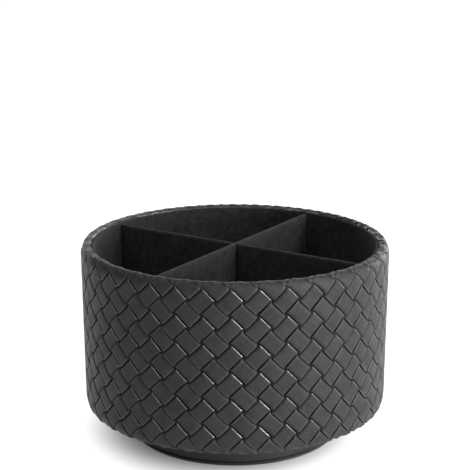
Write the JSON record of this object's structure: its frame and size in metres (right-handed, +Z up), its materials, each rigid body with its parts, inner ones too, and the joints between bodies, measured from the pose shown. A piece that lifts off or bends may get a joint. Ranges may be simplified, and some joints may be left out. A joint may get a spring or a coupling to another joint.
{
  "type": "rotating pen holder",
  "caption": "Round desk organizer in woven dark leather, with velvet-lined compartments, turning on a ball-bearing base.",
  "frame": {"origin": "on the table, under the middle of the base", "axes": "+Z up along the spindle; +X and +Y along the dividers at rest"},
  "size_m": [0.18, 0.18, 0.118],
  "materials": {
    "woven_leather": "satin, woven flat straps",
    "smooth_leather": "satin, fine grain",
    "fibreboard": "raw sawn",
    "card": "matt",
    "velvet": "short pile",
    "felt": "pressed felt",
    "moulded_black": "moulded, satin",
    "foam_pad": "fine closed cells",
    "race_steel": "zinc plated",
    "ball_steel": "polished",
    "cage_plastic": "natural nylon",
    "screw_steel": "zinc plated"
  },
  "bodies": {
    "base": {"foot_plate": "moulded_black", "foot_pad": "foam_pad", "lower_race": "race_steel", "lower_race_screws": "screw_steel"},
    "cage": {"ball_cage": "cage_plastic", "bearing_balls": "ball_steel"},
    "drum": {"turntable_housing": "moulded_black", "base_band": "smooth_leather", "upper_race": "race_steel", "upper_race_screws": "screw_steel", "pivot_screw": "screw_steel", "pivot_washer": "screw_steel", "deck_screws": "screw_steel", "underside_felt": "felt", "infill_card": "card", "floor_board": "fibreboard", "wall_board": "fibreboard", "woven_cover": "woven_leather", "wall_lining_card": "card", "wall_lining_velvet": "velvet", "floor_pad_card": "card", "floor_pad_velvet": "velvet", "divider_board_long": "fibreboard", "divider_velvet_long": "velvet", "divider_board_cross": "fibreboard", "divider_velvet_cross": "velvet"}
  },
  "joints": [
    {"name": "drum_spin", "type": "hinge", "parent": "base", "child": "drum", "pos_m": [0, 0, 0.00657], "axis": [0, 0, 1], "continuous": true},
    {"name": "cage_spin", "type": "hinge", "parent": "base", "child": "cage", "pos_m": [0, 0, 0.00657], "axis": [0, 0, 1], "continuous": true}
  ],
  "couplings": [
    {"joint": "cage_spin", "follows": "drum_spin", "ratio": 0.5}
  ]
}
